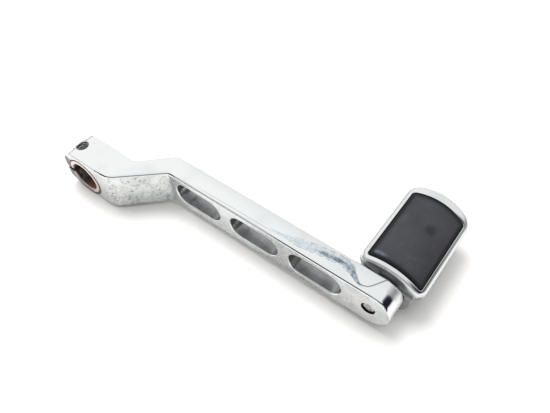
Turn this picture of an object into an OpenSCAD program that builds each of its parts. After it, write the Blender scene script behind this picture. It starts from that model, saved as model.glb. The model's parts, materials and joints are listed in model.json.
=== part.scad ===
// Motorcycle gear shift lever: slotted cranked arm, split clamp with a splined sleeve, toe peg.
// Origin: centre of the shaft bore. +X runs to the toe peg, +Y along the bore to the peg side,
// +Z up. All sizes in millimetres.

/* [Lever arm] */
// distance from the shaft axis to the peg stud axis
lever_len = 145; // [120:1:175]
// thickness of the arm along the shaft axis
arm_w = 11; // [8:0.5:16]
// height of the arm
arm_h = 19; // [15:0.5:26]
// height of the arm's centre line above the shaft axis
arm_rise = 2.6; // [0:0.2:5]
// sideways step between the clamp's near face and the arm's near face
jog = 18.6; // [10:0.2:26]
// where the step leaves the clamp on the near side
jog_x0 = 18.6; // [15:0.5:24]
// where the step reaches the arm on the near side
jog_x1 = 39.4; // [32:0.5:46]

/* [Slots] */
// number of lightening slots
slot_n = 3; // [1:1:4]
// left end of the first slot
slot_x = 43.2; // [40:0.5:50]
// end-to-end length of a slot
slot_len = 25.8; // [14:0.2:26]
// height of a slot
slot_h = 12.2; // [8:0.2:14]
// distance from slot to slot
slot_pitch = 31.6; // [28:0.2:34]

/* [Clamp] */
// length of the clamp along the shaft
clamp_w = 15.4; // [12:0.2:24]
// outside radius of the splined sleeve
sleeve_r = 9.6; // [8.6:0.1:10.4]
// radius over the spline tips, the shaft's own root
bore_r = 7.4; // [6:0.1:8]
// number of splines
spline_n = 30; // [20:1:40]
// depth of a spline groove
spline_depth = 0.6; // [0.3:0.1:0.9]
// width of the clamp's slit
slit_w = 1.8; // [1:0.1:3]
// how far the clamp reaches beyond the shaft axis
clamp_end = 12.2; // [11:0.2:15]
// clamp's underside below the shaft axis
clamp_drop = 10.2; // [10:0.1:13]
// distance from the shaft axis to the pinch bolt's axis
bolt_x = 5.6; // [5:0.1:8]
// tapping radius of the pinch bolt's thread
bolt_tap_r = 2.5; // [2:0.1:3.5]
// clearance radius of the pinch bolt in the lower ear
bolt_clear_r = 3.2; // [2.5:0.1:4]

/* [Toe peg] */
// turn of the toe peg about its stud, degrees nose down
peg_tilt = 10; // [-30:1:30]
// width of the bezel's rim along the pad's sides
rim_side = 2.7; // [2.2:0.1:4]
// width of the bezel's rim at the pad's near end
rim_near = 2.5; // [2.2:0.1:4]
// width of the bezel's rim at the pad's outer end
rim_far = 4.7; // [2.6:0.1:8]
// extra length of the bezel's outer end at its middle
bezel_bulge = 0.8; // [0.2:0.2:5]
// width of the rubber pad
pad_w = 25; // [22:0.2:32]
// length of the rubber pad at its sides
pad_len = 39.2; // [38:0.2:50]
// extra length of the pad's outer end at its middle
pad_bulge = 0.6; // [0.2:0.2:4]
// radius of the crowned top
crown_r = 24; // [20:1:40]
// top of the crown above the stud axis
crown_top = 12; // [10:0.2:15]
// radius of the peg's round boss
boss_r = 12.6; // [10:0.2:14]
// rise of the peg's underside towards its outer end, degrees
under_slope = 9; // [0:1:14]

/* [Stud] */
// radius of the peg stud
stud_r = 3.15; // [2.5:0.05:4.5]
// how far the stud's end lies below the arm's near face
stud_recess = 0.7; // [0:0.1:2]
// number of screws that hold the pad
screw_n = 2; // [1:1:3]

/* [Hidden] */
$fn = 64;
eps = 0.01;
run_gap = 0.05; // radial running clearance of the stud in the arm
peg_gap = 0.6; // space between the arm's far face and the peg's boss
pad_gap = 0.15; // rubber to bezel
arm_y0 = jog - clamp_w / 2; // near face of the arm
arm_y1 = arm_y0 + arm_w; // far face of the arm
arm_top = arm_rise + arm_h / 2;
arm_bot = arm_rise - arm_h / 2;
peg_y = arm_y1 + peg_gap; // near face of the peg's boss
bezel_y = peg_y + 1.3; // near end of the bezel
pad_y = bezel_y + rim_near; // near end of the pad
bezel_w = pad_w + 2 * rim_side; // width of the bezel
bezel_len = rim_near + pad_len + rim_far; // length of the bezel at its sides
shell_t = 1.6; // wall of the bezel
flange_n = 2.2; // underside of the base's flange above the stud axis
seat_n = 4.4; // top of the base, where bezel and plate sit
plate_t = 1.2; // thickness of the backing plate
lip_t = 1.1; // thickness of the pad's retaining lip
lip_gap = 0.2; // plate and lip to the bezel's wall
stud_in = 9; // length of the stud inside the boss
washer_t = 1.4; // thickness of the spring washer
washer_r = 6; // outside radius of the spring washer
screw_r = 2; // radius of a pad screw's shank
head_r = 3.5; // radius of a pad screw's head
screw_y = 12; // first pad screw, from the pad's near end
screw_pitch = 20; // distance between the pad screws

// Points that round the corner b between a and c with radius r, in n steps.
function corner(a, b, c, r, n = 6) =
    let (
        u = (a - b) / norm(a - b),
        v = (c - b) / norm(c - b),
        half = acos(u * v) / 2,
        d = r / tan(half),
        m = b + (u + v) / norm(u + v) * r / sin(half),
        p = b + u * d - m,
        q = b + v * d - m,
        w = atan2(p[0] * q[1] - p[1] * q[0], p * q)
    )
    [for (i = [0:n]) m + [p[0] * cos(w * i / n) - p[1] * sin(w * i / n),
        p[0] * sin(w * i / n) + p[1] * cos(w * i / n)]];

// Closed outline through the points of pts, each rounded by its own radius.
function rounded(pts, rad, n = 6) =
    [for (i = [0:len(pts) - 1])
        let (a = pts[(i + len(pts) - 1) % len(pts)], b = pts[i], c = pts[(i + 1) % len(pts)])
        each rad[i] > 0 ? corner(a, b, c, rad[i], n) : [b]];

// Turn a flat profile drawn in x and z into a solid from y0 to y1.
module along_y(y0, y1) {
    translate([0, y1, 0]) rotate([90, 0, 0]) linear_extrude(y1 - y0) children();
}

// Cylinder along Y from y0 to y1 about the point x, z.
module rod_y(x, z, r, y0, y1) {
    translate([x, y1, z]) rotate([90, 0, 0]) cylinder(r = r, h = y1 - y0);
}

// Cranked outline of the arm seen from above.
module plan() {
    x2 = lever_len + arm_h / 2 + 1;
    far_w = clamp_w / 2;
    polygon(rounded([
        [-clamp_end - 1, -clamp_w / 2],
        [jog_x0, -clamp_w / 2],
        [jog_x1, arm_y0],
        [x2, arm_y0],
        [x2, arm_y1],
        [jog_x1 - 3.4, arm_y1],
        [jog_x0 + 3, far_w],
        [-clamp_end - 1, far_w]
    ], [0, 9, 3, 0, 0, 6, 5, 0]));
}

// Outline of the arm seen from the side.
module side() {
    polygon(rounded([
        [-clamp_end, -clamp_drop],
        [7, -clamp_drop],
        [jog_x1 + 2, arm_bot],
        [lever_len, arm_bot],
        [lever_len, arm_top],
        [-clamp_end, arm_top]
    ], [6.5, 9, 30, 0, 0, 8]));
    translate([lever_len, arm_rise]) circle(r = arm_h / 2);
}

module slots() {
    r = slot_h / 2;
    for (i = [0:slot_n - 1])
        along_y(arm_y0 - 1, arm_y1 + 1) translate([slot_x + i * slot_pitch, arm_rise]) {
            translate([r, 0]) circle(r = r);
            translate([slot_len - r, 0]) circle(r = r);
            translate([r, -r]) square([slot_len - 2 * r, 2 * r]);
        }
}

// Slit of the clamp, from the bore out through the end.
module slit() {
    translate([-clamp_end - 1, -clamp_w / 2 - 1, -slit_w / 2])
        cube([clamp_end + 1 - bore_r + 1.5, clamp_w + 2, slit_w]);
}

// Pinch bolt's passage: tapped in the upper ear, clearance in the lower ear.
module bolt_way() {
    translate([-bolt_x, 0, 0]) {
        cylinder(r = bolt_tap_r, h = arm_top + 1);
        translate([0, 0, arm_top - 0.7]) cylinder(r1 = bolt_tap_r, r2 = bolt_tap_r + 0.8, h = 0.71);
        translate([0, 0, -clamp_drop - 1]) cylinder(r = bolt_clear_r, h = clamp_drop + 1);
    }
}

module lever_arm() {
    color([0.8, 0.81, 0.83]) difference() {
        intersection() {
            translate([0, 0, -clamp_drop - 1]) linear_extrude(clamp_drop + arm_top + 2) plan();
            along_y(-clamp_w / 2 - 1, arm_y1 + 1) side();
        }
        rod_y(0, 0, sleeve_r, -clamp_w / 2 - 1, clamp_w / 2 + 1);
        slots();
        slit();
        bolt_way();
        rod_y(lever_len, arm_rise, stud_r + run_gap, arm_y0 - 1, arm_y1 + 1);
    }
}

module splined_sleeve() {
    step = 360 / spline_n;
    h = clamp_w / 2;
    color([0.62, 0.5, 0.44]) difference() {
        rod_y(0, 0, sleeve_r, -h, h);
        rod_y(0, 0, bore_r, -h - 1, h + 1);
        along_y(-h - 1, h + 1) polygon([for (i = [0:spline_n - 1], k = [-1:1])
            (k == 0 ? bore_r + spline_depth : bore_r - 0.15)
                * [cos((i + 0.27 * k) * step), sin((i + 0.27 * k) * step)]]);
        for (s = [-1, 1])
            translate([0, s * (h - 0.8), 0]) rotate([-90 * s, 0, 0])
                cylinder(r1 = bore_r - 0.01, r2 = bore_r + 0.8, h = 0.81);
        slit();
        bolt_way();
    }
}

// Everything on the peg is drawn level about its stud and then turned by the tilt.
module on_peg() {
    translate([lever_len, 0, arm_rise]) rotate([0, peg_tilt, 0]) children();
}

// Outline of the peg from above, inset from the bezel's own: bulged outer end, rounded corners.
module pod(inset, r) {
    outline(bezel_w - 2 * inset, bezel_y + inset, bezel_len - 2 * inset, bezel_bulge, r);
}

// Outline of the rubber's face, grown by g.
module pad_face(g, r) {
    outline(pad_w + 2 * g, pad_y - g, pad_len + 2 * g, pad_bulge, r);
}

// Four-sided outline: straight near end at y0, outer end bulged by an arc, corners of radius r.
module outline(w, y0, len, bulge, r) {
    k = (w * w / 4 + bulge * bulge) / (2 * bulge);
    a = asin(w / 2 / k);
    arc = [for (i = [2:-1:-2]) [k * sin(a * i / 4), y0 + len + bulge - k + k * cos(a * i / 4)]];
    pts = concat([[-w / 2, y0], [w / 2, y0], [w / 2, y0 + len]], arc, [[-w / 2, y0 + len]]);
    polygon(rounded(pts, concat([r, r, r], [for (p = arc) 0], [r])));
}

// Everything below the crown, with its radius reduced by drop.
module under_crown(drop) {
    rod_y(0, crown_top - crown_r, crown_r - drop, 0, 200);
}

module at_screws() {
    for (i = [0:screw_n - 1]) translate([0, pad_y + screw_y + i * screw_pitch, 0]) children();
}

module peg_base() {
    y1 = bezel_y + bezel_len - 4;
    color([0.55, 0.56, 0.58]) on_peg() difference() {
        union() {
            intersection() {
                rod_y(0, 0, boss_r, peg_y, y1);
                translate([-boss_r, peg_y, -boss_r]) cube([2 * boss_r, y1 - peg_y, boss_r + seat_n]);
                translate([0, peg_y + 9, -boss_r]) rotate([under_slope, 0, 0])
                    translate([-boss_r, -20, 0]) cube([2 * boss_r, 80, 40]);
            }
            intersection() {
                rod_y(0, 0, boss_r, peg_y, peg_y + 9);
                translate([-boss_r, peg_y, -boss_r]) cube([2 * boss_r, 9, boss_r + seat_n]);
            }
            translate([0, 0, flange_n]) linear_extrude(seat_n - flange_n) pod(0.3, 4.6);
        }
        rod_y(0, 0, washer_r + 0.2, peg_y - 1, peg_y + 1);
        rod_y(0, 0, stud_r, peg_y - 1, peg_y + stud_in);
        at_screws() {
            translate([0, 0, -boss_r]) cylinder(r = head_r + 0.3, h = boss_r - 2);
            translate([0, 0, -3]) cylinder(r = screw_r + 0.2, h = seat_n + 4);
        }
    }
}

module peg_stud() {
    color([0.5, 0.5, 0.52]) on_peg() rod_y(0, 0, stud_r, arm_y0 + stud_recess, peg_y + stud_in);
}

module spring_washer() {
    color([0.45, 0.46, 0.48]) on_peg() difference() {
        rod_y(0, 0, washer_r, peg_y + 1 - washer_t, peg_y + 1);
        rod_y(0, 0, stud_r + 0.2, peg_y - 1, peg_y + 3);
    }
}

module peg_bezel() {
    color([0.82, 0.83, 0.85]) on_peg() difference() {
        intersection() {
            translate([0, 0, seat_n]) linear_extrude(20) pod(0, 5);
            under_crown(0.3);
        }
        linear_extrude(30) pad_face(pad_gap, 1.5);
        linear_extrude(seat_n + plate_t + lip_t) pod(shell_t, 3.4);
    }
}

module pad_rubber() {
    color([0.2, 0.2, 0.22]) on_peg() translate([0, 0, seat_n + plate_t]) {
        intersection() {
            linear_extrude(20) pad_face(0, 1.4);
            translate([0, 0, -seat_n - plate_t]) under_crown(0);
        }
        linear_extrude(lip_t) pod(shell_t + lip_gap, 3.2);
    }
}

module backing_plate() {
    color([0.4, 0.41, 0.43]) on_peg() difference() {
        translate([0, 0, seat_n]) linear_extrude(plate_t) pod(shell_t + lip_gap, 3.2);
        at_screws() cylinder(r = screw_r, h = 10);
    }
}

module pad_screws() {
    color([0.5, 0.5, 0.52]) on_peg() at_screws() {
        translate([0, 0, -4.4]) difference() {
            cylinder(r = head_r, h = 2.4);
            translate([0, 0, -1]) cylinder(r = 1.6, h = 2.4, $fn = 6);
        }
        translate([0, 0, -2 - eps]) cylinder(r = screw_r, h = seat_n + plate_t + 2 - 0.2);
    }
}

lever_arm();
splined_sleeve();
peg_base();
peg_stud();
spring_washer();
peg_bezel();
pad_rubber();
backing_plate();
pad_screws();
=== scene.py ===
"""Looks of a slotted gear shift lever: chromed arm, splined sleeve, toe peg with a rubber pad."""
import json
import math

import bmesh
import bpy
import numpy as np
from bpy.props import FloatProperty, FloatVectorProperty, IntProperty, PointerProperty
from mathutils import Matrix, Vector


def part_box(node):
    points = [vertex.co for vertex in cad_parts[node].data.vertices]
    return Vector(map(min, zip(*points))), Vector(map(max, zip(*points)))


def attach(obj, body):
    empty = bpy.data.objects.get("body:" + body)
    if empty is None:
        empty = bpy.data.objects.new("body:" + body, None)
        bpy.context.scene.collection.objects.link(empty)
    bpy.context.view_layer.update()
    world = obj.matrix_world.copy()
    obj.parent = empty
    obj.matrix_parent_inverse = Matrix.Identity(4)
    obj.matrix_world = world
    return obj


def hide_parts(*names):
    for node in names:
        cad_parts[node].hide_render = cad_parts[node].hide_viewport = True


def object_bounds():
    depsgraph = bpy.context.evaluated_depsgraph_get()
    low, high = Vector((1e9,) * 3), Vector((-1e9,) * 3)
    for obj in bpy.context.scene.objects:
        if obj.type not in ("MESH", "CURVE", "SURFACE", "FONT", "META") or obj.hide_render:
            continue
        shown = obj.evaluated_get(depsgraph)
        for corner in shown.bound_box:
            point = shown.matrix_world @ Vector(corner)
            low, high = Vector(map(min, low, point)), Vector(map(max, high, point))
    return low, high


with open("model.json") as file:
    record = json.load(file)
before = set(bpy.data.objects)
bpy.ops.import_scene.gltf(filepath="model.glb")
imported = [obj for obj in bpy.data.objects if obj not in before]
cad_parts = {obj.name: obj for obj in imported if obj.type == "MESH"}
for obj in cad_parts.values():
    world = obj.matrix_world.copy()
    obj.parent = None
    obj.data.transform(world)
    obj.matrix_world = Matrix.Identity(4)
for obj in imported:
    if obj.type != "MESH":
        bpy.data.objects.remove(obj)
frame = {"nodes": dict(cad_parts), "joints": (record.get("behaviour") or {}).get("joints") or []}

bl_info = {
    "name": "Gear shift lever",
    "version": (1, 0, 0),
    "blender": (4, 5, 0),
    "location": "3D View > Sidebar > Shift lever",
    "description": "Finishes and visible detail of a slotted gear shift lever",
    "category": "Object",
}

CAD_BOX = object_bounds()
MM = 0.001
ARM_HIGH = np.array(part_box("lever_arm")[1])
STUD_AXIS = np.array(frame["joints"][0]["pos_m"])
PEG_TILT = math.radians(10)  # turn of the peg about its stud
SLEEVE_R, BORE_R = 9.6 * MM, 7.4 * MM
BOLT_X = 5.6 * MM  # pinch bolt's axis, towards the clamp's end
BOLT_TAP_R, THREAD_DEPTH = 2.5 * MM, 4.2 * MM
SLACK = 0.1 * MM  # how far off an edge or a face still counts as on it
BOLT_REACH = 3.9 * MM  # distance from the bolt's axis that takes in its hole's mouth
STUD_REACH = 3.5 * MM  # distance from the stud's axis that takes in its hole
SEAT_REACH = SLEEVE_R + 0.15 * MM  # the same for the sleeve's seat
SLIT_REACH, SLIT_X = 1.05 * MM, -6 * MM  # the slit is this close to z = 0, past this x
SPLINE_REACH = BORE_R + 0.8 * MM  # past the roots of the splines
FILLET_R, CLAMP_END = 8 * MM, 12.2 * MM  # rounding of the clamp's top corner, and its end
CLAMP_HALF = 7.7 * MM  # half the clamp's width
ARM_START = 11.5 * MM  # where the clamp's crisp edges turn into the arm's rounder ones
SLOT_LEN, SLOT_H = 25.8 * MM, 12.2 * MM
SLOT_X, SLOT_PITCH, SLOT_COUNT = 43.2 * MM, 31.6 * MM, 3  # first slot's near end, step and count
BEZEL_Y, BEZEL_LEN, BEZEL_W, BEZEL_BULGE = 23.8 * MM, 46.4 * MM, 30.4 * MM, 0.8 * MM
PAD_Y, PAD_LEN, PAD_W, PAD_BULGE = 26.3 * MM, 39.2 * MM, 25 * MM, 0.6 * MM
PAD_SHY = 0.25 * MM  # how much narrower the visible top is on every side
PAD_CORNER, WELL_CORNER, BEZEL_CORNER = 1.2 * MM, 1.5 * MM, 5 * MM
PAD_GAP = 0.15 * MM  # between the pad and the wall of the bezel's well
BEZEL_WALL, FOOT_GAP = 1.6 * MM, 0.2 * MM  # the bezel's skirt, and the play of the pad's foot in it
CROWN_R, CROWN_TOP = 24 * MM, 11.999 * MM
CREST_DROP, LIP_R = 0.3 * MM, 0.35 * MM  # bezel's crest below the crown, and its inner edge
SEAT = 4.4 * MM  # top of the peg's base above the stud axis
PLATE_TOP, LEDGE = SEAT + 1.2 * MM, SEAT + 2.3 * MM  # the pad's foot lies between these two
GROUND, FLOOR_HALF = CAD_BOX[0].z - 0.05 * MM, 1.6
AIM = Vector((0.07, 0.02, 0))  # what the lamps point at
CAMERA_PLACE, CAMERA_LENS = (0.17658, -0.08804, 0.19583), 35.54
CAMERA_RIGHT, CAMERA_AHEAD = Vector((0.8018, 0.5974, -0.0133)), Vector((-0.3734, 0.4835, -0.7917))
NEAR_SIDE = (0.616, -0.788)  # level direction from the lever back to the camera


def colour(name, value, text):
    return FloatVectorProperty(name=name, description=text, default=value, size=3,
                               subtype="COLOR", min=0.0, max=1.0)


def length(name, value, text):
    return FloatProperty(name=name, description=text, default=value, min=0.0, max=0.05,
                         unit="LENGTH", subtype="DISTANCE", precision=5)


class LeverSizes(bpy.types.PropertyGroup):
    """Sizes of the visible detail; the main sizes belong to the frame."""
    arm_edge: length("Arm edge", 1.45 * MM, "Rounding of the arm's upper edges")
    low_edge: length("Low edge", 0.45 * MM, "Rounding of the clamp's edges and the arm's lower edges")
    slot_edge: length("Slot edge", 0.75 * MM, "Rounding of the slots' rims")
    hole_edge: length("Hole edge", 0.45 * MM, "Rounding of the sleeve seat and the slit")
    thread_r: length("Thread radius", 3.05 * MM, "Root radius of the pinch thread")
    thread_pitch: length("Thread pitch", 1.27 * MM, "Pitch of the pinch thread")
    mouth_r: length("Mouth radius", 3.5 * MM, "Radius of the countersunk mouth of the pinch thread")
    spline_rust: FloatProperty(name="Spline rust", default=0.55, min=0.0, max=1.0, subtype="FACTOR",
                               description="Share of the splines' depth filled by rust")
    rim_round: length("Bezel rim", 1.3 * MM, "Rounding of the bezel's outer edge")
    pad_round: length("Pad edge", 0.9 * MM, "Rounding of the rubber pad's edge")
    edge_steps: IntProperty(name="Edge steps", description="Faces across a rounded edge",
                            default=4, min=1, max=8)


class LeverColours(bpy.types.PropertyGroup):
    """Base colours of the finishes."""
    chrome: colour("Chrome", (0.84, 0.86, 0.86), "Bright plating")
    flank: colour("Flank", (0.53, 0.545, 0.545), "Dulled plating on the arm's flanks")
    pit: colour("Pits", (0.10, 0.10, 0.10), "Pits in the plating")
    slot: colour("Slot walls", (0.33, 0.34, 0.345), "Thin dark plating inside the slots")
    ring: colour("Sleeve face", (0.78, 0.66, 0.60), "Bare end of the splined sleeve")
    rust: colour("Rust", (0.30, 0.17, 0.11), "Rust in the bore")
    steel: colour("Steel", (0.50, 0.50, 0.51), "Plated steel of stud, washer, plate and screws")
    casting: colour("Casting", (0.36, 0.36, 0.36), "Satin plating of the peg's base")
    rubber: colour("Rubber", (0.037, 0.038, 0.046), "Rubber of the pad")
    floor: colour("Floor", (0.93, 0.925, 0.915), "Pale floor")


# ---------------------------------------------------------------- shader maths

def arithmetic(operation, swapped=False):
    """A method that adds the Math node of one operation on itself and another term."""
    def method(self, other):
        return self.math(operation, *((other, self) if swapped else (self, other)))
    return method


class Value:
    """A shader socket in arithmetic: each operator adds the Math node that does it."""

    __add__, __radd__ = arithmetic("ADD"), arithmetic("ADD", True)
    __sub__, __rsub__ = arithmetic("SUBTRACT"), arithmetic("SUBTRACT", True)
    __mul__, __rmul__ = arithmetic("MULTIPLY"), arithmetic("MULTIPLY", True)
    __truediv__ = arithmetic("DIVIDE")
    lowest, highest = arithmetic("MINIMUM"), arithmetic("MAXIMUM")

    def __init__(self, tree, socket):
        self.tree, self.socket = tree, socket

    def math(self, operation, *terms):
        node = self.tree.nodes.new("ShaderNodeMath")
        node.operation = operation
        for socket, term in zip(node.inputs, terms):
            plug(self.tree, socket, term)
        return Value(self.tree, node.outputs[0])

    def __neg__(self):
        return self * -1.0

    def __abs__(self):
        return self.math("ABSOLUTE", self)

    def root(self):
        return self.math("SQRT", self)

    def step(self, start, end):
        """Smooth step: 0 at start, 1 at end."""
        node = self.tree.nodes.new("ShaderNodeMapRange")
        node.interpolation_type = "SMOOTHSTEP"
        for name, term in (("Value", self), ("From Min", start), ("From Max", end)):
            plug(self.tree, node.inputs[name], term)
        return Value(self.tree, node.outputs["Result"])


def plug(tree, socket, term):
    """Feed a socket from a Value, another socket or a plain number, colour or vector."""
    if isinstance(term, Value):
        term = term.socket
    if isinstance(term, bpy.types.NodeSocket):
        tree.links.new(term, socket)
        return
    if not hasattr(term, "__len__"):
        socket.default_value = term
        return
    term = list(term)
    socket.default_value = term + [1.0] if len(term) == 3 and socket.type == "RGBA" else term


def tinted(shade, share):
    """A colour made lighter or darker."""
    return [c * share for c in shade]


def oval(x, y, middle, half):
    """Distance from an oval's middle as a share of its half sizes: 1 on its edge."""
    u, v = (x - middle[0]) / half[0], (y - middle[1]) / half[1]
    return (u * u + v * v).root()


class Finish:
    """The shader of a material or world being made; its methods add nodes and hand back Values."""

    def __init__(self, owner):
        owner.use_nodes = True
        self.owner, self.tree = owner, owner.node_tree
        self.tree.nodes.clear()
        self.coordinates = self.add("ShaderNodeTexCoord").outputs
        self.place = self.coordinates["Object"]

    def add(self, kind, settings=(), inputs=()):
        """One node: its type, then its settings, then the values or links of its sockets."""
        node = self.tree.nodes.new(kind)
        for key, value in dict(settings).items():
            setattr(node, key, value)
        for key, value in dict(inputs).items():
            plug(self.tree, node.inputs[key], value)
        return node

    def parts(self, vector):
        """The three parts of a vector socket."""
        node = self.add("ShaderNodeSeparateXYZ", inputs={0: vector})
        return [Value(self.tree, part) for part in node.outputs]

    def axes(self):
        """The three object coordinates, in millimetres."""
        return [v / MM for v in self.parts(self.place)]

    def facing(self):
        """The sizes of the three parts of the surface's own normal."""
        turn = self.add("ShaderNodeVectorTransform", {
            "vector_type": "NORMAL", "convert_from": "WORLD", "convert_to": "OBJECT"},
            {0: self.add("ShaderNodeNewGeometry").outputs["Normal"]})
        return [abs(v) for v in self.parts(turn.outputs[0])]

    def attribute(self, name):
        node = self.add("ShaderNodeAttribute", {"attribute_name": name})
        return Value(self.tree, node.outputs["Fac"])

    def stretched(self, scale):
        """Object coordinates with each axis scaled."""
        node = self.add("ShaderNodeMapping", inputs={"Vector": self.place, "Scale": scale})
        return node.outputs[0]

    def noise(self, scale, detail=4.0, rough=0.55, warp=0.0, at=None):
        node = self.add("ShaderNodeTexNoise", inputs={
            "Vector": at or self.place, "Scale": scale, "Detail": detail,
            "Roughness": rough, "Distortion": warp})
        return Value(self.tree, node.outputs["Fac"])

    def cells(self, scale):
        """Distance to the nearest point of a scattered set, in cell widths."""
        node = self.add("ShaderNodeTexVoronoi", {"feature": "F1"}, {
            "Vector": self.place, "Scale": scale, "Randomness": 1.0})
        return Value(self.tree, node.outputs["Distance"])

    def blend(self, share, a, b):
        """Colour a turning into b."""
        node = self.add("ShaderNodeMix", {"data_type": "RGBA"}, {0: share})
        plug(self.tree, node.inputs[6], a)
        plug(self.tree, node.inputs[7], b)
        return node.outputs[2]

    def bump(self, height, depth, strength=1.0, under=None):
        """Normal from a height of 0 to 1 that stands for depth metres."""
        node = self.add("ShaderNodeBump", inputs={
            "Height": height, "Distance": depth, "Strength": strength})
        if under is not None:
            plug(self.tree, node.inputs["Normal"], under)
        return node.outputs[0]

    def skin(self, **sockets):
        """The surface shader; names use _ for a space."""
        shader = self.add("ShaderNodeBsdfPrincipled", inputs={
            key.replace("_", " "): value for key, value in sockets.items()})
        self.add("ShaderNodeOutputMaterial", inputs={"Surface": shader.outputs[0]})
        return self.owner


def paint(name):
    """The finish of a new material."""
    return Finish(bpy.data.materials.new(name))


def sizes():
    return bpy.context.scene.lever_sizes


def shades():
    return bpy.context.scene.lever_colours


# -------------------------------------------------------------------- finishes

def arm_chrome():
    """Bright plating. The flanks are dull, clouded and pitted, most of all on the jog; grime rings
    the sleeve; a mottled band runs along the top towards the peg and curls across the end, partly
    a stain and partly a painted reflection."""
    f = paint("arm_chrome")
    x, y, z = f.axes()
    nx, ny, nz = f.facing()
    flank = ny.step(0.55, 0.70) * (1 - nz.step(0.12, 0.45))
    top = nz.step(0.80, 0.95) * z.step(4, 6)

    # wear of the flanks: clouds, pits and fine squiggles, worst on the jog
    broad = f.noise(70, 3, 0.6)
    fine = f.noise(900, 4, 0.7)
    cloud = f.noise(240, 4, 0.65, 0.8)
    stain = f.noise(150, 4, 0.7, 1.2)
    jog = x.step(11, 20) * (1 - x.step(37, 42))
    tip = x.step(60, 150)
    speck = (1 - f.cells(760).step(0.10, 0.30)) * f.noise(260, 3, 0.6).step(0.48, 0.60)
    crater = (1 - f.cells(360).step(0.16, 0.34)) * stain.step(0.52, 0.62)
    worn = flank * (speck * (0.40 + 0.45 * jog) + crater * (0.15 + 0.75 * jog)
                    + cloud.step(0.56, 0.72) * (0.12 + 0.40 * jog)).lowest(1.0)
    dull = flank * (0.45 + 0.35 * stain.step(0.38, 0.66) + 0.2 * tip)
    squiggle = (1 - abs(f.noise(420, 3, 0.6, 1.6) - 0.5).step(0.008, 0.035)) * cloud.step(0.42, 0.58)
    between = flank * x.step(84, 98) * (1 - x.step(118, 132)) * (0.3 + 0.7 * fine.step(0.35, 0.65))
    bend_edge = ny.step(0.2, 0.45) * nz.step(0.2, 0.45) * (
        (1 - x.step(9, 13)) + x.step(40, 46) * (1 - x.step(94, 108)))

    # stain and painted reflection on top: a band about a wandering middle line, then a thin curl across
    # the end
    sway = (f.noise(300, 4, 0.7) - 0.5) * 2.2
    middle = 13.9 + 3.9 * x.step(97, 128) - 5.0 * x.step(130, 140)
    half = 0.3 + 1.7 * x.step(97, 112) * (1 - x.step(132, 140))
    off = (y - middle + sway * 0.45) / half
    along = x.step(92, 100) * (1 - x.step(138, 141))
    band = top * along * (1 - abs(off).step(0.70, 1.05))
    rim = top * along * (1 - abs(abs(off) - 1.05).step(0.03, 0.16)) * cloud.step(0.42, 0.58)
    spot = ((x - 124) / 9) * ((x - 124) / 9) + (off + 0.25) * (off + 0.25) * 2.2
    dark = band * (1 - spot.step(0.15, 1.0)) + band * x.step(128, 133) * 0.8
    smudge = nx.step(0.22, 0.45) * x.step(146, 148) * y.step(15.0, 17.5)
    run = (x + sway * 0.10 - 142.0) / 0.55
    reach = (run * run + 7.0).root()
    bend = y - 13.0 - (run + reach) * 0.5
    slope = (0.5 + 0.5 * run / reach) / 0.55
    curl = (1 - (abs(bend) / (1 + slope * slope).root()).step(0.10, 0.42)) * x.step(136, 139)
    mottle = f.noise(620, 5, 0.75, 0.6).step(0.40, 0.60)
    line = abs(y - 12.7 - sway * 0.12 - (x - 60) * 0.012)
    hair = (1 - line.step(0.05, 0.22)) * x.step(52, 62) * (1 - x.step(92, 104))

    # grime round the sleeve's seat, and a darker patch on the near face at the end of the clamp
    ring = (x * x + z * z).root() + (cloud - 0.5) * 0.8
    near = ny.step(0.2, 0.6)
    grime = near * (1 - ring.step(10.0 + 0.5 * x.step(0, 9), 10.5 + 0.7 * x.step(0, 9)))
    grime = grime.highest(0.66 * near * (1 - x.step(-9.4, -5.4)) * (1 - abs(z - 1).step(6.0, 9.0)))

    # the colours, laid one over another, and the roughness
    base = f.blend(dull, shades().chrome, shades().flank)
    base = f.blend(broad.step(0.45, 0.75) * top * 0.5, base, tinted(shades().chrome, 0.86))
    base = f.blend(between * 0.8, base, (0.24, 0.25, 0.25))
    beyond = top * y.step(15.5, 21.5) * x.step(34, 52)
    base = f.blend(beyond * 0.55, base, tinted(shades().chrome, 0.84))
    # the blue-grey band, its dark core and its outline are partly a stain and partly a painted
    # reflection
    base = f.blend(band * (0.28 + 0.5 * mottle), base, (0.48, 0.60, 0.66))
    base = f.blend(dark * (0.45 + 0.55 * mottle) * 0.9, base, (0.07, 0.11, 0.16))
    outline = (rim * 0.6).highest(curl * top * 0.75).highest(hair * top * 0.4)
    base = f.blend(outline, base, (0.10, 0.12, 0.15))
    base = f.blend((worn * 0.75).highest(squiggle * flank * (0.20 + 0.55 * jog)), base, shades().pit)
    base = f.blend(grime * 0.93, base, (0.045, 0.034, 0.03))
    rough = (0.04 + 0.04 * broad.step(0.4, 0.8) + bend_edge * 0.42 + smudge * 0.34
             + dull * (0.22 + 0.2 * fine) + worn * 0.2 + band * 0.08 + grime * 0.45)
    ripple = f.bump(broad, 0.06 * MM, 0.45)
    relief = f.bump(1 - worn * 0.8 + flank * (0.35 * fine + 0.3 * cloud), 0.14 * MM, 0.6, ripple)
    return f.skin(Base_Color=base, Metallic=1.0 - (worn * 0.45).highest(grime * 0.9),
                  Roughness=rough.lowest(0.7), Normal=relief)


def slot_wall():
    """Thin dark plating inside the slots, a little uneven."""
    f = paint("slot_wall")
    cloud = f.noise(160, 4, 0.6)
    grain = f.noise(1400, 3, 0.6)
    base = f.blend(cloud.step(0.3, 0.75), tinted(shades().slot, 0.85), tinted(shades().slot, 1.2))
    return f.skin(Base_Color=base, Metallic=0.85, Roughness=0.16 + 0.12 * cloud,
                  Normal=f.bump(cloud * 0.8 + grain * 0.1, 0.30 * MM, 0.6))


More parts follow.
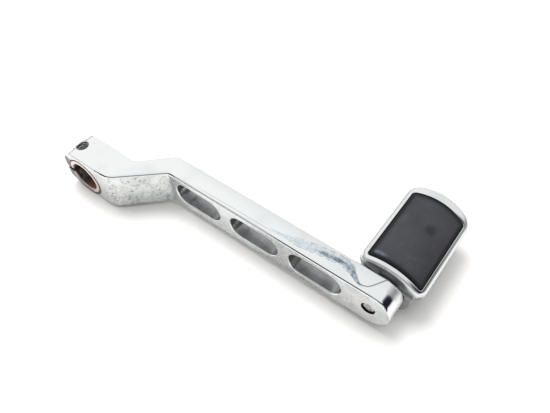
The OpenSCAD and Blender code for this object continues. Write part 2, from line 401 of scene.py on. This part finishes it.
def bare_sleeve():
    """Bare steel: pale on the end faces; near-black painted shade inside, with rust and a pale patch of
    painted light; grimy at its outer edge; painted shade in the slit.
    """
    f = paint("bare_sleeve")
    x, y, z = f.axes()
    radius = (x * x + z * z).root()
    face = abs(y).step(6.9, 7.4) * radius.step(7.1, 8.0)
    edge = radius.step(9.2, 9.5)
    rust = f.noise(380, 5, 0.7, 0.8)
    blotch = f.noise(170, 3, 0.6, 0.5)
    lower = (x - z).step(2, 10)
    # inside: near-black painted shade of the deep bore, rust towards the lower right
    inner = f.blend(rust.step(0.40, 0.66), (0.075, 0.06, 0.052), (0.025, 0.018, 0.016))
    inner = f.blend(lower * (0.4 + 0.6 * rust.step(0.35, 0.6)), inner, shades().rust)
    # painted light: pale patches on the left of the bore, where its lower wall near the mouth is lit
    inner = f.blend((1 - x.step(-6.5, -3.5)) * blotch.step(0.46, 0.58) * 0.6, inner, (0.34, 0.30, 0.28))
    outer = f.blend(rust.step(0.5, 0.75) * 0.4, shades().ring, (0.40, 0.28, 0.22))
    # the end face darker towards its lower left, outside a radius of about 8 mm
    darker_low_left = (1 - (x + z).step(-9, -2)) * radius.step(7.7, 8.3) * (0.6 + 0.4 * blotch)
    outer = f.blend(darker_low_left, outer, (0.13, 0.11, 0.10))
    # painted shade: the sleeve's slit near-black
    slit = (1 - x.step(-6.5, -6.0)) * (1 - abs(z).step(1.0, 1.5))
    base = f.blend(face, inner, outer)
    base = f.blend((edge * 0.9).highest(slit), base, (0.05, 0.04, 0.035))
    return f.skin(Base_Color=base, Metallic=0.2 + 0.55 * face * (1 - edge) * (1 - slit),
                  Roughness=0.6 - 0.22 * face + 0.2 * (rust - 0.5), Normal=f.bump(rust, 0.08 * MM, 0.6))


def plated_steel(name, tint):
    """Dull plated steel with blotches and fine grain."""
    f = paint(name)
    cloud = f.noise(420, 4, 0.65, 0.6)
    grain = f.noise(1900, 4, 0.7)
    base = f.blend(cloud.step(0.35, 0.7), tinted(tint, 0.75), tinted(tint, 1.25))
    return f.skin(Base_Color=base, Metallic=0.9, Roughness=0.30 + 0.25 * cloud,
                  Normal=f.bump(cloud * 0.5 + grain * 0.5, 0.05 * MM, 0.6))


def stud_metal():
    """The stud's end: mottled grey with dark specks."""
    f = paint("stud_metal")
    cloud = f.noise(620, 4, 0.7, 0.8)
    speck = 1 - f.cells(700).step(0.18, 0.34)
    base = f.blend(cloud.step(0.40, 0.60), (0.22, 0.21, 0.21), (0.78, 0.77, 0.76))
    base = f.blend(speck * 0.7, base, (0.06, 0.05, 0.05))
    return f.skin(Base_Color=base, Metallic=0.7, Roughness=0.42 + 0.2 * cloud,
                  Normal=f.bump(cloud - speck * 0.3, 0.14 * MM, 0.8))


def thread_metal():
    """Cut thread: bright flanks, painted shade in the roots, a painted highlight on the countersunk lip.
    """
    f = paint("thread_metal")
    x, y, z = f.axes()
    radius = oval(x, y, (-BOLT_X / MM, 0), (1, 1))
    patchiness = f.noise(900, 3, 0.6)
    lip = radius.step(3.10, 3.20)
    groove = radius.step(2.62, 2.90) * (1 - lip)
    # painted shade in the thread's roots, patchy
    base = f.blend(groove * (0.75 + 0.25 * patchiness), (0.74, 0.74, 0.75), (0.02, 0.02, 0.02))
    # painted highlight: the countersunk lip pale and hardly metallic
    base = f.blend(lip, base, (0.92, 0.92, 0.92))
    return f.skin(Base_Color=base, Metallic=0.8 - 0.7 * lip, Roughness=0.35 + 0.2 * patchiness,
                  Normal=f.bump(patchiness, 0.02 * MM, 0.4))


def bezel_chrome():
    """Bright plating with faint hairlines and a few marks; painted shade on its side walls."""
    f = paint("bezel_chrome")
    broad = f.noise(90, 3, 0.6)
    fine = f.noise(700, 4, 0.65)
    mark = f.noise(330, 4, 0.7, 1.0, f.stretched((1.0, 0.35, 1.0))).step(0.62, 0.72)
    hair = f.noise(240, 5, 0.7, 0.0, f.stretched((6.0, 0.4, 3.0)))
    x, y, z = f.axes()
    near = 1 - y.step(24.3, 25.6)
    mark = mark * (1 - near)
    # painted shade: side walls darker away from the near end, for the shadowed floor they mirror
    wall = 1 - f.facing()[2].step(0.25, 0.70)
    base = f.blend(mark * 0.35, tinted(shades().chrome, 0.9), (0.38, 0.39, 0.41))
    base = f.blend(wall * (1 - near) * 0.45, base, (0.36, 0.37, 0.37))
    rough = 0.06 + 0.06 * hair.step(0.45, 0.75) + 0.16 * mark + 0.32 * near
    return f.skin(Base_Color=base, Metallic=1.0, Roughness=rough,
                  Normal=f.bump((broad * 0.4 + fine * 0.04 + hair * 0.03) * (1 - near), 0.03 * MM, 0.4))


def satin_casting():
    """Plated casting: smooth on the flange, grainy beneath."""
    f = paint("satin_casting")
    cloud = f.noise(120, 4, 0.6, 0.5)
    grain = f.noise(1300, 4, 0.7)
    base = f.blend(cloud.step(0.3, 0.75), tinted(shades().casting, 0.78), tinted(shades().casting, 1.12))
    return f.skin(Base_Color=base, Metallic=0.9, Roughness=0.22 + 0.2 * cloud + 0.08 * grain,
                  Normal=f.bump(grain, 0.02 * MM, 0.4))


def pad_rubber_finish():
    """Smooth rubber: faint mould grain, pale smudges, a few scuffs, a painted highlight streak near the
    near left corner and painted shade along its edges.
    """
    f = paint("pad_rubber_finish")
    x, y, z = f.axes()
    rim = f.attribute("rim")
    cloud = f.noise(75, 4, 0.6, 0.4)
    smear = f.noise(120, 5, 0.7, 1.5, f.stretched((1.0, 0.55, 1.0)))
    grain = f.noise(2600, 3, 0.6)
    scuff = f.noise(300, 5, 0.75, 1.5).step(0.60, 0.72) * cloud.step(0.48, 0.62)
    base = f.blend(cloud.step(0.32, 0.68), tinted(shades().rubber, 0.72), shades().rubber)
    base = f.blend(smear.step(0.52, 0.75) * 0.35, base, tinted(shades().rubber, 1.9))
    base = f.blend(scuff * 0.30, base, (0.16, 0.165, 0.18))
    # painted highlight: a pale streak near the pad's near left corner
    highlight_streak = (1 - oval(x, y, (138.2, 28.8), (4.5, 1.3)).step(0.3, 1.0)) * smear.step(0.35, 0.6)
    base = f.blend(highlight_streak * 0.75, base, (0.15, 0.17, 0.22))
    blotch = (1 - oval(x, y, (149.5, 50.6), (2.8, 3.4)).step(0.4, 1.1)) * smear.step(0.34, 0.50)
    base = f.blend(blotch * 0.9, base, (0.008, 0.010, 0.013))
    # painted shade along the pad's edges, where it meets the bezel
    base = f.blend(rim * 0.9, base, tinted(shades().rubber, 0.2))
    rough = 0.44 + 0.14 * cloud + 0.10 * smear.step(0.4, 0.7) - 0.05 * scuff + 0.35 * rim
    return f.skin(Base_Color=base, Roughness=rough, Specular_IOR_Level=0.42,
                  Normal=f.bump(grain * 0.5 + scuff * 0.3 + cloud * 0.4, 0.05 * MM, 0.45))


def pale_floor():
    """Matt white paper with the least bit of tooth."""
    f = paint("pale_floor")
    tooth = f.noise(900, 3, 0.6)
    return f.skin(Base_Color=shades().floor, Roughness=0.85, Specular_IOR_Level=0.2,
                  Normal=f.bump(tooth, 0.02 * MM, 0.2))


# -------------------------------------------------------------------- surfaces

def mesh_piece(name, points, faces, material, smooth=True):
    """A mesh object at the origin from arrays of points and quads."""
    mesh = bpy.data.meshes.new(name)
    mesh.from_pydata(points.tolist(), [], [list(dict.fromkeys(q)) for q in faces.tolist()])
    mesh.validate()
    mesh.update()
    mesh.polygons.foreach_set("use_smooth", [smooth] * len(mesh.polygons))
    piece = bpy.data.objects.new(name, mesh)
    bpy.context.scene.collection.objects.link(piece)
    mesh.materials.append(material)
    return piece


def grid_faces(rows, columns, close_rows=False, close_columns=False):
    """Quads of a grid of rows x columns points, joined up at its ends where it is closed."""
    i, j = np.meshgrid(np.arange(rows if close_rows else rows - 1),
                       np.arange(columns if close_columns else columns - 1), indexing="ij")
    below, beside = (i + 1) % rows, (j + 1) % columns
    corners = ((i, j), (i, beside), (below, beside), (below, j))
    return np.stack([row * columns + column for row, column in corners], -1).reshape(-1, 4)


def outward(mesh):
    """Turn every face to look out of a closed shape, after its doubles are merged."""
    shape = bmesh.new()
    shape.from_mesh(mesh)
    bmesh.ops.remove_doubles(shape, verts=shape.verts, dist=1e-6)
    bmesh.ops.recalc_face_normals(shape, faces=shape.faces)
    shape.to_mesh(mesh)
    shape.free()


def pod_outline(w, y0, long, bulge, r, per_side=24, per_corner=10):
    """Closed outline of the peg from above, as x and y: straight near end at y0, the outer end
    bulged by bulge * (1 - (x / half width)^2), quarter circles of radius r at the corners."""
    h, y1 = w / 2 - r, y0 + long - r
    s = np.linspace(0, 1, per_side, endpoint=False)
    a = np.linspace(0, np.pi / 2, per_corner, endpoint=False)

    def arc(cx, cy, turn):
        return np.stack([cx + r * np.cos(a + turn), cy + r * np.sin(a + turn)], -1)

    near = np.stack([-h + 2 * h * s, np.full_like(s, y0)], -1)
    right = np.stack([np.full_like(s, w / 2), y0 + r + (y1 - y0 - r) * s], -1)
    far = np.stack([h - 2 * h * s, y0 + long + bulge * (1 - (1 - 2 * s) ** 2)], -1)
    left = np.stack([np.full_like(s, -w / 2), y1 - (y1 - y0 - r) * s], -1)
    return np.concatenate([near, arc(h, y0 + r, -np.pi / 2), right, arc(h, y1, 0),
                           far, arc(-h, y1, np.pi / 2), left, arc(-h, y0 + r, np.pi)])


def pad_outline(inset, r):
    """The pad's outline drawn in by an inset, with corners of radius r."""
    return pod_outline(PAD_W - 2 * inset, PAD_Y + inset, PAD_LEN - 2 * inset, PAD_BULGE, r)


def bezel_outline(inset):
    """The bezel's outline drawn in by an inset, which its corners lose too."""
    return pod_outline(BEZEL_W - 2 * inset, BEZEL_Y + inset, BEZEL_LEN - 2 * inset, BEZEL_BULGE,
                       BEZEL_CORNER - inset)


def lifted(flat, height):
    """An outline of x and y raised to a height, which is one number or one for each point."""
    return np.concatenate([flat, np.broadcast_to(height, (len(flat),))[:, None]], 1)


def crown(u, drop=0.0):
    """Height of the crowned top over the stud axis at u across the peg: a circle of the crown's
    radius less drop about a line parallel to the stud."""
    return CROWN_TOP - CROWN_R + np.sqrt((CROWN_R - drop) ** 2 - u ** 2)


def on_peg(points):
    """From the level peg's own u, y and n to the frame: turned by the tilt about the stud."""
    u, y, n = np.moveaxis(points, -1, 0)
    c, s = math.cos(PEG_TILT), math.sin(PEG_TILT)
    return np.stack([STUD_AXIS[0] + u * c + n * s, y, STUD_AXIS[2] - u * s + n * c], -1)


def bezel_surface():
    """Ring round the pad. Along: the outline. Across: up the inner wall, over a crest that follows
    the crown, round the outer edge by a quarter circle of rim_round, down the wall, back beneath."""
    inner, outer = pad_outline(-PAD_GAP, WELL_CORNER), bezel_outline(0)
    inside = bezel_outline(BEZEL_WALL)
    r = sizes().rim_round
    gap = np.linalg.norm(outer - inner, axis=1)
    q = np.clip(r / gap, 0, 0.6)[:, None]  # share of the ring's width that the outer edge takes

    def across(share):
        return inner + (outer - inner) * share

    def crest(flat):
        return crown(flat[:, 0], CREST_DROP)

    rows = [lifted(inner, LEDGE), lifted(inner, crest(inner) - LIP_R)]
    for t in np.linspace(0.25, 1, 4) * np.pi / 2:
        flat = across((LIP_R * (1 - math.cos(t)) / gap)[:, None])
        rows.append(lifted(flat, crest(flat) - LIP_R * (1 - math.sin(t))))
    for s in np.linspace(0.3, 1, 4):
        flat = across(s * (1 - q) + (1 - s) * (LIP_R / gap)[:, None])
        rows.append(lifted(flat, crest(flat)))
    for t in np.linspace(0, 1, 8)[1:] * np.pi / 2:
        flat = across(1 - q * (1 - math.sin(t)))
        rows.append(lifted(flat, crest(flat) - r * (1 - math.cos(t))))
    rows.append(lifted(outer, np.minimum(SEAT + 0.25 * MM, rows[-1][:, 2])))
    rows.append(lifted(outer + (inside - outer) * 0.15, SEAT))
    rows += [lifted(inside, SEAT), lifted(inside, LEDGE)]
    grid = np.array(rows)
    return on_peg(grid.reshape(-1, 3)), grid_faces(len(grid), grid.shape[1], True, True)


def pad_surface():
    """Rubber block. Around: the outline. Inward: up the side wall, over the edge by a quarter
    circle of pad_round, then shrinking outlines on the crown, with a shallow groove near the edge,
    to a closed middle; flat below. The last result is how much painted shade each point takes at the
    rim, 0 to 1."""
    r = sizes().pad_round
    face, foot = pad_outline(PAD_SHY, PAD_CORNER), bezel_outline(BEZEL_WALL + FOOT_GAP)
    middle = np.array([0, PAD_Y + PAD_LEN / 2])
    half = np.array([PAD_W / 2, PAD_LEN / 2 + PAD_BULGE])

    def inset(d):
        return middle + (face - middle) * (1 - d / half)

    rows = [lifted(np.repeat(middle[None], len(face), 0), PLATE_TOP),
            lifted(middle + (foot - middle) * 0.5, PLATE_TOP),
            lifted(foot, PLATE_TOP), lifted(foot, LEDGE), lifted(face, LEDGE)]
    for t in np.linspace(0, 1, 7) * np.pi / 2:
        flat = inset(r * (1 - math.cos(t)))
        rows.append(lifted(flat, crown(flat[:, 0]) - r * (1 - math.sin(t))))
    # painted shade at the rim: full on the side wall and round edge, fading inward
    dark = [1.0] * len(rows)
    for s in np.linspace(0, 1, 26)[1:]:
        flat = middle + (inset(r) - middle) * (1 - s)
        groove = 0.12 * MM * np.exp(-((1 - s) * 9 - 8) ** 2)
        rows.append(lifted(flat, crown(flat[:, 0]) - groove))
        dark.append(math.exp(-s * 22))
    grid = np.array(rows)
    faces = grid_faces(len(grid), grid.shape[1], False, True)
    return on_peg(grid.reshape(-1, 3)), faces, np.repeat(dark, grid.shape[1])


def clamp_top(x):
    """Height of the clamp's top at x: flat, then down a quarter circle to its end."""
    past = np.minimum(x - (FILLET_R - CLAMP_END), 0)
    return ARM_HIGH[2] - FILLET_R + np.sqrt(np.clip(FILLET_R ** 2 - past ** 2, 0, None))


def thread_surface():
    """Inside thread with a countersunk mouth: a tube about the bolt's axis from the clamp's top down.
    Radius: the larger of a triangle wave of height over pitch less turns, between the tapping and
    the root radius, and the mouth's radius less the depth below the top (a 45 degree cone)."""
    root, pitch, mouth = sizes().thread_r, sizes().thread_pitch, sizes().mouth_r
    turn = np.linspace(0, 2 * np.pi, 96, endpoint=False)
    part = np.linspace(0, 1, int(THREAD_DEPTH / pitch * 20) + 1)
    s, t = np.meshgrid(part, turn, indexing="ij")
    top = clamp_top(-BOLT_X + mouth * np.cos(t)) - 0.01 * MM
    h = top - THREAD_DEPTH * (1 - s)
    wave = np.clip(np.abs((h / pitch - t / (2 * np.pi)) % 1.0 * 2 - 1) * 1.3 - 0.15, 0, 1)
    radius = np.maximum(BOLT_TAP_R + 0.02 * MM + (root - BOLT_TAP_R) * wave, mouth - (top - h))
    points = np.stack([-BOLT_X + radius * np.cos(t), radius * np.sin(t), h], -1).reshape(-1, 3)
    return points, grid_faces(len(part), len(turn), False, True)[:, ::-1]


def turned_surface(profile, steps=64):
    """A profile of radius and y carried round the stud's axis."""
    radius, y = np.array(profile).T
    turn = np.linspace(0, 2 * np.pi, steps, endpoint=False)
    t, i = np.meshgrid(turn, np.arange(len(radius)), indexing="ij")
    u, v = radius[i] * np.cos(t), radius[i] * np.sin(t)
    points = np.stack([STUD_AXIS[0] + u, y[i], STUD_AXIS[2] + v], -1)
    return points.reshape(-1, 3), grid_faces(steps, len(radius), True, False)


def softened(node, name, passes, material, sharp=24.0, cuts=()):
    """Copy of a CAD node with rounded edges. Each pass is a width and a test that takes the
    middles of the edges as an array and says which it rounds; the first that fits counts.
    Cuts are the x of planes that part its faces, so that no face has a hole."""
    mesh = frame["nodes"][node].data.copy()
    mesh.name = name
    shape = bmesh.new()
    shape.from_mesh(mesh)
    bmesh.ops.remove_doubles(shape, verts=shape.verts, dist=2e-6)
    for x in cuts:
        bmesh.ops.bisect_plane(shape, geom=[*shape.verts, *shape.edges, *shape.faces], dist=1e-7,
                               plane_co=(x, 0, 0), plane_no=(1, 0, 0))

    def on_cut(x, *vertices):
        return all(abs(v.co.x - x) < 1e-6 for v in vertices)

    free = [v for v in shape.verts if not any(on_cut(x, v) for x in cuts)]
    loose = [e for e in shape.edges if not any(on_cut(x, *e.verts) for x in cuts)]
    bmesh.ops.dissolve_limit(shape, angle_limit=math.radians(0.4), verts=free, edges=loose)
    for number, (width, test) in enumerate(passes):
        shape.normal_update()
        edges = list(shape.edges)
        middle = np.array([(e.verts[0].co + e.verts[1].co) / 2 for e in edges])
        bend = np.degrees([e.calc_face_angle(0.0) for e in edges])
        pick = (bend > sharp) & test(middle)
        for _, other in passes[:number]:
            pick &= ~other(middle)
        if width:
            bmesh.ops.bevel(shape, geom=[e for e, p in zip(edges, pick) if p], offset=width,
                            offset_type="OFFSET", segments=sizes().edge_steps, profile=0.5,
                            affect="EDGES", clamp_overlap=False, loop_slide=True, material=-1)
    shape.normal_update()
    for edge in shape.edges:
        edge.smooth = edge.calc_face_angle(0.0) < math.radians(32)
    for face in shape.faces:
        face.smooth = True
    shape.to_mesh(mesh)
    shape.free()
    mesh.materials.clear()
    mesh.materials.append(material)
    piece = bpy.data.objects.new(name, mesh)
    bpy.context.scene.collection.objects.link(piece)
    flat = piece.modifiers.new("flat_faces", "WEIGHTED_NORMAL")
    flat.keep_sharp = True
    return piece


def points_of(mesh):
    """A mesh's vertices as an array."""
    points = np.zeros(len(mesh.vertices) * 3)
    mesh.vertices.foreach_get("co", points)
    return points.reshape(-1, 3)


def faces_of(mesh):
    """Middles and normals of a mesh's faces as arrays."""
    middle, normal = np.zeros(len(mesh.polygons) * 3), np.zeros(len(mesh.polygons) * 3)
    mesh.polygons.foreach_get("center", middle)
    mesh.polygons.foreach_get("normal", normal)
    return middle.reshape(-1, 3), normal.reshape(-1, 3)


def in_slot(points):
    """Whether points lie in a slot or on its rim, seen along the shaft."""
    r = SLOT_H / 2
    inside = np.zeros(len(points), bool)
    for i in range(SLOT_COUNT):
        a = SLOT_X + i * SLOT_PITCH + r
        along = np.clip(points[:, 0], a, a + SLOT_LEN - 2 * r)
        inside |= np.hypot(points[:, 0] - along, points[:, 2] - STUD_AXIS[2]) < r + SLACK
    return inside


# ------------------------------------------------------------------- operators

class LEVER_OT_arm(bpy.types.Operator):
    """Chromed arm with rounded edges, dark slot walls and pitted flanks"""
    bl_idname = "lever.arm"
    bl_label = "Lever arm"

    def execute(self, context):
        s = sizes()

        def slit(m):
            return (np.abs(m[:, 2]) < SLIT_REACH) & (m[:, 0] < SLIT_X)

        def bolt(m):
            return np.hypot(m[:, 0] + BOLT_X, m[:, 1]) < BOLT_REACH

        def stud(m):
            return np.hypot(m[:, 0] - STUD_AXIS[0], m[:, 2] - STUD_AXIS[2]) < STUD_REACH

        def seat(m):
            return np.hypot(m[:, 0], m[:, 2]) < SEAT_REACH

        def seat_mouth(m):
            return seat(m) & (np.abs(np.abs(m[:, 1]) - CLAMP_HALF) < SLACK)

        def outer(m):
            return ~(bolt(m) | stud(m) | seat(m) | in_slot(m) | slit(m))

        def upper(m):
            return outer(m) & (m[:, 0] > ARM_START) & (m[:, 2] > ARM_HIGH[2] - 3 * MM)

        cuts = [SLOT_X + SLOT_LEN / 2 + i * SLOT_PITCH for i in range(SLOT_COUNT)]
        passes = ((s.arm_edge, upper), (s.low_edge, outer), (s.slot_edge, in_slot),
                  (s.hole_edge, seat_mouth))
        piece = softened("lever_arm", "arm_plated", passes, arm_chrome(),
                         cuts=(ARM_START, *cuts, STUD_AXIS[0]))
        mesh = piece.data
        mesh.materials.append(slot_wall())
        # painted shade: near-black walls for the stud's hole and the slit's faces
        mesh.materials.append(plated_steel("hole_grime", (0.035, 0.032, 0.03)))

        # the bolt's hole opens to the mouth of the thread, so that the thread's own piece shows
        co = points_of(mesh)
        off = co[:, :2] - (-BOLT_X, 0)
        reach = np.hypot(*off.T)
        within = (reach > BOLT_TAP_R - SLACK / 2) & (reach < s.mouth_r - SLACK / 2)
        tapped = within & (co[:, 2] > 2 * MM)
        mouth = tapped & (co[:, 2] > clamp_top(co[:, 0]) - SLACK)
        co[tapped, :2] = (-BOLT_X, 0) + off[tapped] * (s.mouth_r / reach[tapped])[:, None]
        co[mouth, 2] = clamp_top(co[mouth, 0])
        mesh.vertices.foreach_set("co", co.ravel())

        middle, normal = faces_of(mesh)
        across, level = np.abs(normal[:, 1]) < 0.5, np.abs(normal[:, 2]) > 0.7
        # the stud hole's walls and the slit's faces take the painted shade
        hole = stud(middle) & across | slit(middle) & level
        wall = in_slot(middle) & across
        mesh.polygons.foreach_set("material_index", wall.astype(np.int32) + 2 * hole)
        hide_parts("lever_arm")
        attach(piece, "lever")
        return {"FINISHED"}


class LEVER_OT_sleeve(bpy.types.Operator):
    """Splined sleeve and the pinch thread"""
    bl_idname = "lever.sleeve"
    bl_label = "Sleeve and thread"

    def execute(self, context):
        s = sizes()
        sleeve = softened("splined_sleeve", "sleeve_rusty", (), bare_sleeve())
        co = points_of(sleeve.data)
        reach = np.hypot(co[:, 0], co[:, 2])
        groove = (reach > BORE_R) & (reach < SPLINE_REACH)
        filled = BORE_R + (reach[groove] - BORE_R) * (1 - s.spline_rust)
        co[np.ix_(groove, (0, 2))] *= (filled / reach[groove])[:, None]
        sleeve.data.vertices.foreach_set("co", co.ravel())
        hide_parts("splined_sleeve")
        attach(sleeve, "lever")
        points, faces = thread_surface()
        thread = mesh_piece("pinch_thread_cut", points, faces, thread_metal())
        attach(thread, "lever")
        return {"FINISHED"}


class LEVER_OT_stud(bpy.types.Operator):
    """Peg stud with a dimple and a neck at its end, and its spring washer"""
    bl_idname = "lever.stud"
    bl_label = "Stud and washer"

    def execute(self, context):
        low, high = (np.array(c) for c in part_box("peg_stud"))
        r, y0, y1 = (high[2] - low[2]) / 2, low[1], high[1]
        # radius and depth below the end face; the neck's radii count inwards from the shank's
        dimple = ((0, 0.15), (0.7, 0.13), (1.1, 0.02))
        neck = ((0.8, 0), (0.6, 0.06), (0.45, 0.3), (0.4, 1.2), (0.04, 1.8))
        profile = [(u * MM, y0 + d * MM) for u, d in dimple]
        profile += [(r - u * MM, y0 + d * MM) for u, d in neck]
        profile += [(r - 0.04 * MM, y1 - 0.3 * MM), (r - 0.3 * MM, y1), (0, y1)]
        points, faces = turned_surface(profile)
        stud = mesh_piece("stud_turned", points, faces, stud_metal())
        outward(stud.data)
        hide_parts("peg_stud")
        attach(stud, "toe_peg")
        washer = frame["nodes"]["spring_washer"]
        washer.data.materials.clear()
        washer.data.materials.append(plated_steel("washer_steel_finish", (0.34, 0.34, 0.35)))
        return {"FINISHED"}


class LEVER_OT_bezel(bpy.types.Operator):
    """Chromed bezel with a rounded rim"""
    bl_idname = "lever.bezel"
    bl_label = "Bezel"

    def execute(self, context):
        points, faces = bezel_surface()
        piece = mesh_piece("bezel_rim", points, faces, bezel_chrome())
        outward(piece.data)
        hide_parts("peg_bezel")
        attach(piece, "toe_peg")
        return {"FINISHED"}


class LEVER_OT_pad(bpy.types.Operator):
    """Crowned rubber pad"""
    bl_idname = "lever.pad"
    bl_label = "Rubber pad"

    def execute(self, context):
        points, faces, rim = pad_surface()
        piece = mesh_piece("pad_crowned", points, faces, pad_rubber_finish())
        # the painted shade of the rim, per point
        dark = piece.data.attributes.new("rim", "FLOAT", "POINT")
        dark.data.foreach_set("value", rim.astype(np.float32))
        outward(piece.data)
        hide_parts("pad_rubber")
        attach(piece, "toe_peg")
        return {"FINISHED"}


class LEVER_OT_base(bpy.types.Operator):
    """Peg base, backing plate and pad screws"""
    bl_idname = "lever.base"
    bl_label = "Peg base"

    def execute(self, context):
        def every(m):
            return np.ones(len(m), bool)

        base = softened("peg_base", "base_cast", ((0.5 * MM, every),), satin_casting(), 30.0)
        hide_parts("peg_base")
        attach(base, "toe_peg")
        screws = softened("pad_screws", "screws_zinc", ((0.2 * MM, every),),
                          plated_steel("screw_zinc", shades().steel), 40.0)
        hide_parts("pad_screws")
        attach(screws, "toe_peg")
        plate = frame["nodes"]["backing_plate"]
        plate.data.materials.clear()
        plate.data.materials.append(plated_steel("plate_zinc", (0.42, 0.43, 0.45)))
        return {"FINISHED"}


class LEVER_OT_stage(bpy.types.Operator):
    """Pale floor, soft light, the room seen in reflections, and the camera"""
    bl_idname = "lever.stage"
    bl_label = "Floor, light and camera"

    def execute(self, context):
        scene = context.scene
        sides = ((-1, -1), (1, -1), (1, 1), (-1, 1))
        corners = np.array([(x * FLOOR_HALF, y * FLOOR_HALF, GROUND) for x, y in sides])
        floor = mesh_piece("floor", corners, np.array([[0, 1, 2, 3]]), pale_floor(), False)
        self.room(scene)
        self.lamp("key", (-0.42, 0.20, 1.15), 0.75, 12.0, (1.0, 0.985, 0.96))
        self.lamp("fill", (0.2, 0.2, 1.1), 0.9, 3.5, (0.97, 0.985, 1.0))
        scene.view_settings.view_transform = "Standard"
        self.camera(scene)
        return {"FINISHED"}

    def room(self, scene):
        """Soft light, weaker from the side the camera looks from. Polished metal sees a pale room
        with a dark band up to about 45 degrees high on that same side, narrower in its middle."""
        world = bpy.data.worlds.new("studio")
        f = Finish(world)
        dx, dy, dz = f.parts(f.coordinates["Generated"])
        level = (1.0001 - dz * dz).root()
        towards = (dx * NEAR_SIDE[0] + dy * NEAR_SIDE[1]) / level
        side = towards.step(-0.10, 0.10)
        low = (dz - 0.26 * towards.step(0.60, 0.75)).step(0.04, 0.14) * (1 - dz.step(0.60, 0.74))
        pale = f.blend((-dx).step(0.08, 0.55), (0.95, 0.965, 0.97), (1.06, 1.065, 1.06))
        pale = f.blend(0.8 * (1 - dz.step(0.08, 0.40)), pale, (0.36, 0.36, 0.37))
        seen = f.blend(side * low, pale, (0.018, 0.018, 0.030))
        glossy = f.add("ShaderNodeBackground", inputs={"Color": seen, "Strength": 1.0})
        even = f.blend(side * (1 - dz.step(0.75, 0.95)), (1.12, 1.115, 1.10), (0.52, 0.515, 0.51))
        plain = f.add("ShaderNodeBackground", inputs={"Color": even, "Strength": 0.70})
        path = f.add("ShaderNodeLightPath").outputs["Is Glossy Ray"]
        mix = f.add("ShaderNodeMixShader", inputs={0: path, 1: plain.outputs[0], 2: glossy.outputs[0]})
        f.add("ShaderNodeOutputWorld", inputs={"Surface": mix.outputs[0]})
        scene.world = world

    def lamp(self, name, place, size, power, tint):
        """A round lamp aimed at the lever; polished metal doesn't mirror it."""
        data = bpy.data.lights.new(name, "AREA")
        data.shape, data.size, data.energy, data.color = "DISK", size, power, tint
        lamp = bpy.data.objects.new(name, data)
        bpy.context.scene.collection.objects.link(lamp)
        lamp.location = place
        lamp.visible_glossy = False
        lamp.rotation_euler = (Vector(place) - AIM).to_track_quat("Z", "Y").to_euler()

    def camera(self, scene):
        """The camera, turned by its right and ahead directions."""
        data = bpy.data.cameras.new("camera")
        data.sensor_width, data.lens = 36.0, CAMERA_LENS
        camera = bpy.data.objects.new("camera", data)
        scene.collection.objects.link(camera)
        up = CAMERA_RIGHT.cross(CAMERA_AHEAD)
        turn = Matrix((CAMERA_RIGHT, up, -CAMERA_AHEAD)).transposed()
        camera.matrix_world = Matrix.Translation(CAMERA_PLACE) @ turn.to_4x4()
        data.clip_start, data.clip_end = 0.005, 20
        scene.camera = camera


OPERATORS = (LEVER_OT_arm, LEVER_OT_sleeve, LEVER_OT_stud, LEVER_OT_bezel, LEVER_OT_pad,
             LEVER_OT_base, LEVER_OT_stage)


class LEVER_PT_panel(bpy.types.Panel):
    """Sizes, colours and pieces of the shift lever"""
    bl_idname = "LEVER_PT_panel"
    bl_label = "Shift lever"
    bl_space_type = "VIEW_3D"
    bl_region_type = "UI"
    bl_category = "Shift lever"

    def draw(self, context):
        for group in (context.scene.lever_sizes, context.scene.lever_colours):
            box = self.layout.box()
            for key in group.__annotations__:
                box.prop(group, key)
        for operator in OPERATORS:
            self.layout.operator(operator.bl_idname)


CLASSES = (LeverSizes, LeverColours, *OPERATORS, LEVER_PT_panel)


def register():
    for c in CLASSES:
        bpy.utils.register_class(c)
    bpy.types.Scene.lever_sizes = PointerProperty(type=LeverSizes)
    bpy.types.Scene.lever_colours = PointerProperty(type=LeverColours)


def unregister():
    del bpy.types.Scene.lever_sizes, bpy.types.Scene.lever_colours
    for c in reversed(CLASSES):
        bpy.utils.unregister_class(c)


def main():
    register()
    for operator in OPERATORS:
        group, name = operator.bl_idname.split(".")
        getattr(getattr(bpy.ops, group), name)()


if __name__ == "__main__":
    main()
